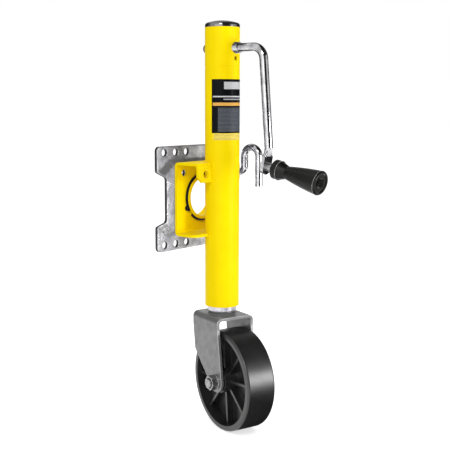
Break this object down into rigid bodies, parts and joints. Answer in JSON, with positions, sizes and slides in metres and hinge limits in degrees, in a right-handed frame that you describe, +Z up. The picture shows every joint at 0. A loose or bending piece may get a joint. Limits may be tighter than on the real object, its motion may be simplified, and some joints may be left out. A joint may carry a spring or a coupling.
{
  "type": "trailer tongue jack",
  "caption": "Swing-back side-wind trailer tongue jack: bolt-on swivel plate with a pull pin, geared crank, telescoping screw ram and a swivelling caster wheel.",
  "frame": {"origin": "centre of the mounting plate on its back face, on the swivel's axis", "axes": "+Z up, parallel to the jack tube; -Y out of the plate toward the crank; +X to the side"},
  "size_m": [0.164, 0.2371, 0.6001],
  "materials": {
    "yellow_paint": "glossy yellow paint",
    "zinc_sheet": "bright zinc-plated pressed steel",
    "zinc_rod": "polished zinc-plated bar",
    "spring_steel_black": "black phosphate",
    "spring_steel": "drawn spring wire",
    "plain_steel": "turned steel",
    "gear_steel": "sintered gear steel, greased",
    "bearing_steel": "ground bearing steel",
    "bronze": "sintered bronze",
    "black_plastic": "black moulded plastic",
    "black_rubber": "black rubbery grip",
    "black_wheel": "black moulded nylon, satin"
  },
  "bodies": {
    "mounting_plate_group": {"mounting_plate": "zinc_sheet", "swivel_collar": "yellow_paint", "retaining_ring": "spring_steel_black"},
    "jack_body": {"outer_tube": "yellow_paint", "top_cap": "black_plastic", "swivel_bracket": "yellow_paint", "swivel_washer": "zinc_sheet", "crank_bush_front": "zinc_rod", "crank_bush_rear": "bronze", "bearing_plate": "plain_steel", "bearing_race_upper": "bearing_steel", "anti_rotation_key": "plain_steel", "pull_pin_spring": "spring_steel"},
    "crank": {"crank_arm": "zinc_rod", "bevel_pinion": "gear_steel", "pinion_roll_pin": "plain_steel", "crank_end_cap": "black_plastic", "grip_spindle": "zinc_rod"},
    "grip": {"crank_grip": "black_rubber"},
    "screw": {"lead_screw": "plain_steel", "bevel_gear": "gear_steel", "gear_roll_pin": "plain_steel", "bearing_race_lower": "bearing_steel", "bearing_balls": "bearing_steel", "bearing_cage": "bronze"},
    "ram": {"inner_tube": "zinc_sheet", "lead_nut": "bronze", "ram_end_plug": "plain_steel", "kingpin": "plain_steel", "kingpin_washer": "plain_steel", "kingpin_nut": "plain_steel"},
    "caster": {"caster_fork": "zinc_sheet", "caster_thrust_washer": "plain_steel", "axle_bolt": "zinc_rod", "axle_nut": "zinc_rod", "axle_washers": "zinc_rod", "axle_sleeve": "plain_steel"},
    "wheel": {"caster_wheel": "black_wheel", "wheel_bush": "plain_steel"},
    "pull_pin_group": {"pull_pin": "zinc_rod", "pull_pin_washer": "zinc_rod", "pull_pin_stop": "zinc_rod"}
  },
  "joints": [
    {"name": "swing", "type": "hinge", "parent": "mounting_plate_group", "child": "jack_body", "pos_m": [0, 0, 0], "axis": [0, 1, 0], "range_deg": [-90, 90]},
    {"name": "pin_slide", "type": "slide", "parent": "jack_body", "child": "pull_pin_group", "axis": [0, 1, 0], "range_m": [0, 0.007], "deforming": ["pull_pin_spring"]},
    {"name": "crank_turn", "type": "hinge", "parent": "jack_body", "child": "crank", "pos_m": [0, -0.0585, 0.2185], "axis": [0, 1, 0], "range_deg": [0, 24000]},
    {"name": "screw_turn", "type": "hinge", "parent": "jack_body", "child": "screw", "pos_m": [0, -0.0585, 0], "axis": [0, 0, 1], "range_deg": [0, 18000]},
    {"name": "ram_slide", "type": "slide", "parent": "jack_body", "child": "ram", "axis": [0, 0, -1], "range_m": [0, 0.254]},
    {"name": "caster_swivel", "type": "hinge", "parent": "ram", "child": "caster", "pos_m": [0, -0.0585, -0.17], "axis": [0, 0, 1], "continuous": true},
    {"name": "wheel_spin", "type": "hinge", "parent": "caster", "child": "wheel", "pos_m": [-0.00966, -0.08953, -0.267], "axis": [0.9548, -0.2974, 0], "continuous": true},
    {"name": "grip_spin", "type": "hinge", "parent": "crank", "child": "grip", "pos_m": [0, -0.13945, 0.05201], "axis": [0, -0.9799, -0.1994], "continuous": true}
  ],
  "couplings": [
    {"joint": "screw_turn", "follows": "crank_turn", "ratio": 0.75},
    {"joint": "ram_slide", "follows": "crank_turn", "m_per_rad": 0.00060638}
  ]
}
